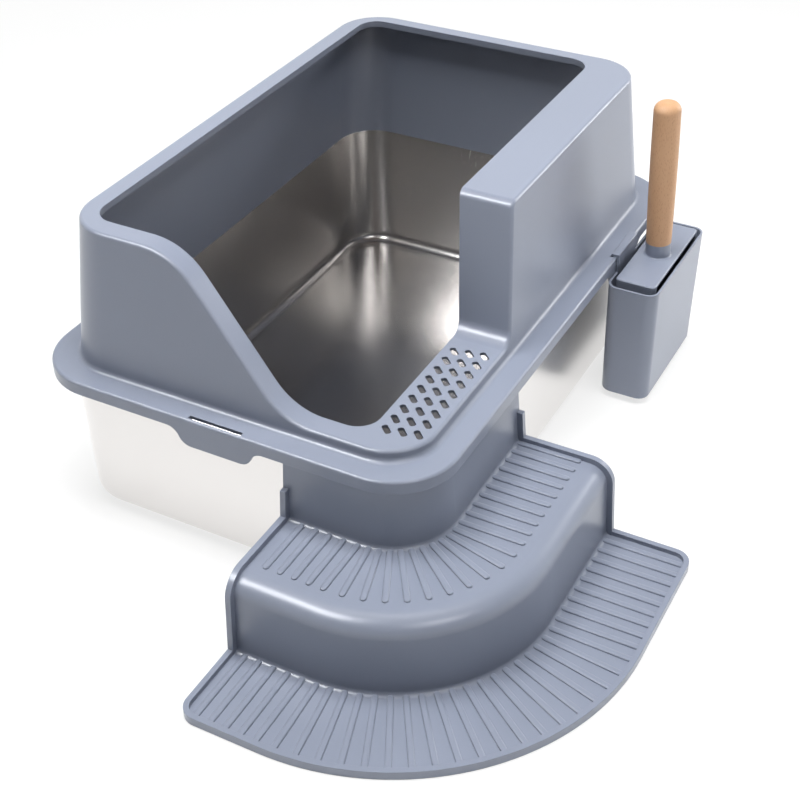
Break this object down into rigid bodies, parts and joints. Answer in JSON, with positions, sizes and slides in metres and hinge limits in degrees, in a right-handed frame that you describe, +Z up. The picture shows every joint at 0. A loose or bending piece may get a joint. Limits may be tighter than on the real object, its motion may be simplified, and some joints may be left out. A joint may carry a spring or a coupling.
{
  "type": "semi-enclosed litter box",
  "caption": "Steel litter pan with a lift-off high-sided cover, a low perforated entry shelf, ribbed corner steps, and a scoop standing in a hook-on holder.",
  "frame": {"origin": "centre of the pan's flat underside, on the floor", "axes": "+Z up, +Y back along the box's long side, +X towards the long side that carries the scoop holder"},
  "size_m": [0.5815, 0.7745, 0.307],
  "materials": {
    "stainless_steel": "satin, polished inside",
    "cover_plastic": "satin moulded",
    "steps_plastic": "satin moulded",
    "holder_plastic": "satin moulded",
    "scoop_plastic": "satin moulded",
    "beech": "fine sanded, oiled",
    "plated_screw": "zinc plated"
  },
  "bodies": {
    "pan": {"steel_pan": "stainless_steel"},
    "cover": {"high_side_cover": "cover_plastic"},
    "steps": {"corner_steps": "steps_plastic"},
    "holder": {"scoop_holder": "holder_plastic"},
    "scoop": {"scoop_head": "scoop_plastic", "scoop_handle": "beech", "handle_screw": "plated_screw"}
  },
  "joints": [
    {"name": "cover_lift", "type": "slide", "parent": "pan", "child": "cover", "axis": [0, 0, 1], "range_m": [0, 0.2]},
    {"name": "holder_lift", "type": "slide", "parent": "cover", "child": "holder", "axis": [0, 0, 1], "range_m": [0, 0.06]},
    {"name": "scoop_lift", "type": "slide", "parent": "holder", "child": "scoop", "axis": [0, 0, 1], "range_m": [0, 0.16]},
    {"name": "steps_pull", "type": "slide", "parent": "pan", "child": "steps", "axis": [0.7071, -0.7071, 0], "range_m": [0, 0.3]}
  ]
}
